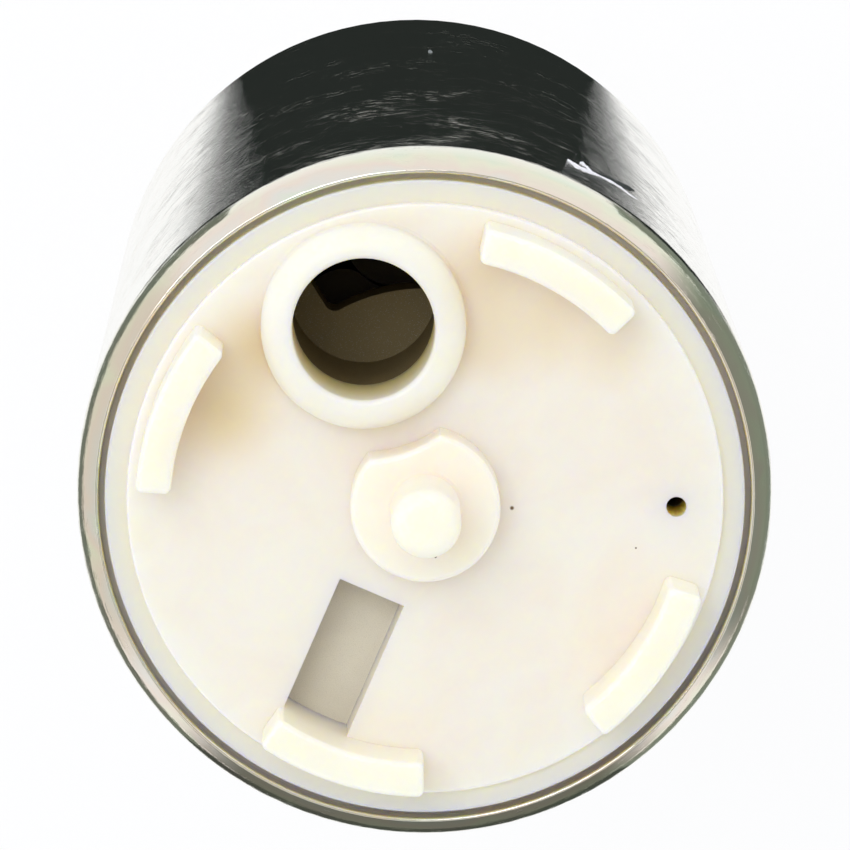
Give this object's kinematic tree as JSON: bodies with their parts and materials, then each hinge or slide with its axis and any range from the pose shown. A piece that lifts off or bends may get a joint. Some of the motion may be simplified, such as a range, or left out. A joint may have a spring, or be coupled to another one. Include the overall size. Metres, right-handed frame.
{
  "type": "electric fuel pump",
  "caption": "In-tank electric fuel pump: rolled steel shell, moulded inlet cover with spigot, peg and lugs, gerotor gears, brushed motor and barbed outlet.",
  "frame": {"origin": "on the pump's axis, half way along the steel shell", "axes": "+Z along the pump's axis towards the inlet end; +Y is the side of the inlet spigot; the brushes and terminals lie on the X axis"},
  "size_m": [0.038, 0.038, 0.1067],
  "materials": {
    "zinc_steel": "zinc plated and passivated, satin",
    "acetal": "moulded natural acetal, satin",
    "sintered_steel": "sintered and steam treated, fine porous grain",
    "gear_steel": "sintered gear steel, ground faces",
    "ground_steel": "centreless ground",
    "spring_steel": "drawn spring steel",
    "flux_steel": "drawn tube, turned ends",
    "ferrite": "pressed ferrite, matt",
    "coupling_plastic": "glass filled nylon, matt",
    "phenolic": "phenolic moulding, matt",
    "bronze": "oil filled sintered bronze",
    "copper": "turned copper",
    "enamelled_copper": "enamelled copper wire",
    "lamination_steel": "stacked electrical steel sheets",
    "carbon": "pressed carbon, matt",
    "terminal_brass": "tinned brass sheet",
    "seal_rubber": "fluoro rubber, satin"
  },
  "bodies": {
    "pump": {"housing_shell": "zinc_steel", "inlet_cover": "acetal", "inlet_body": "sintered_steel", "body_seal": "seal_rubber", "stub_shaft": "ground_steel", "locating_pins": "ground_steel", "gear_ring": "sintered_steel", "outlet_port_plate": "sintered_steel", "plate_spring": "spring_steel", "flux_ring": "flux_steel", "magnet_a": "ferrite", "magnet_b": "ferrite", "magnet_clip_a": "spring_steel", "magnet_clip_b": "spring_steel", "outlet_cap": "acetal", "cap_seal": "seal_rubber", "end_bearing": "bronze", "thrust_washer": "coupling_plastic", "check_spring": "spring_steel", "check_retainer": "terminal_brass", "relief_spring": "spring_steel", "relief_plug": "terminal_brass", "brush_spring_a": "spring_steel", "brush_spring_b": "spring_steel", "brush_lead_a": "copper", "brush_lead_b": "copper", "terminal_a": "terminal_brass", "terminal_b": "terminal_brass"},
    "armature": {"drive_coupling": "coupling_plastic", "armature_bush": "bronze", "armature_shaft": "ground_steel", "armature_core": "lamination_steel", "armature_windings": "enamelled_copper", "commutator_base": "phenolic", "commutator_segments": "copper", "inner_gear": "gear_steel"},
    "outer_gear": {"outer_gear": "gear_steel"},
    "check_poppet": {"check_poppet": "coupling_plastic"},
    "relief_ball": {"relief_ball": "ground_steel"},
    "brush_a": {"brush_a": "carbon"},
    "brush_b": {"brush_b": "carbon"}
  },
  "joints": [
    {"name": "armature_spin", "type": "hinge", "parent": "pump", "child": "armature", "pos_m": [0, 0, 0], "axis": [0, 0, 1], "continuous": true},
    {"name": "outer_gear_spin", "type": "hinge", "parent": "pump", "child": "outer_gear", "pos_m": [0.00089, -0.00072, 0.0184], "axis": [0, 0, 1], "continuous": true},
    {"name": "check_slide", "type": "slide", "parent": "pump", "child": "check_poppet", "axis": [0, 0, -1], "range_m": [0, 0.0016], "stiffness_N_per_m": 250, "springref_m": -0.004, "deforming": ["check_spring"]},
    {"name": "relief_slide", "type": "slide", "parent": "pump", "child": "relief_ball", "axis": [0, 0, -1], "range_m": [0, 0.0012], "stiffness_N_per_m": 800, "springref_m": -0.003, "deforming": ["relief_spring"]},
    {"name": "brush_a_slide", "type": "slide", "parent": "pump", "child": "brush_a", "axis": [0, 0, -1], "range_m": [0, 0.0015], "stiffness_N_per_m": 150, "springref_m": -0.004, "deforming": ["brush_spring_a", "brush_lead_a"]},
    {"name": "brush_b_slide", "type": "slide", "parent": "pump", "child": "brush_b", "axis": [0, 0, -1], "range_m": [0, 0.0015], "stiffness_N_per_m": 150, "springref_m": -0.004, "deforming": ["brush_spring_b", "brush_lead_b"]}
  ],
  "couplings": [
    {"joint": "outer_gear_spin", "follows": "armature_spin", "ratio": 0.88889}
  ]
}
